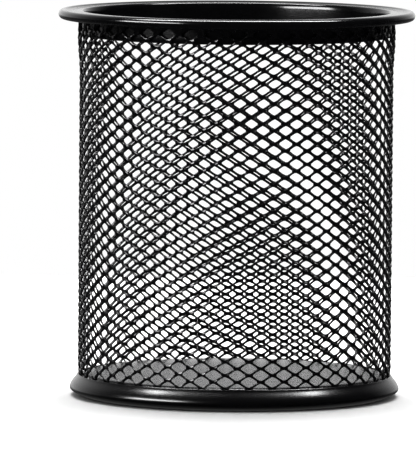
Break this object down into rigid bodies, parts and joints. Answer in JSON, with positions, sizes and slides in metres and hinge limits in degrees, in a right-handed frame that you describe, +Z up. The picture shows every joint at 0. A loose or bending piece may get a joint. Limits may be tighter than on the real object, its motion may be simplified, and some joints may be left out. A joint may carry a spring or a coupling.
{
  "type": "pen cup",
  "caption": "Round open desk cup for pens: a sleeve of diamond expanded mesh with a rolled top rim, a flared foot ring and a raised solid floor.",
  "frame": {"origin": "centre of the base, on the surface that the cup stands on", "axes": "+Z up along the cup's axis; -Y is the side that faces the viewer"},
  "size_m": [0.086, 0.086, 0.0934],
  "materials": {
    "rim_coat": "black semi-gloss powder coat, smooth",
    "mesh_coat": "black satin powder coat on expanded steel mesh",
    "foot_coat": "black semi-gloss powder coat, smooth",
    "floor_coat": "black semi-gloss powder coat on a flat plate"
  },
  "bodies": {
    "root": {"top_rim": "rim_coat", "mesh_wall": "mesh_coat", "foot_ring": "foot_coat", "floor_pan": "floor_coat"}
  },
  "joints": []
}
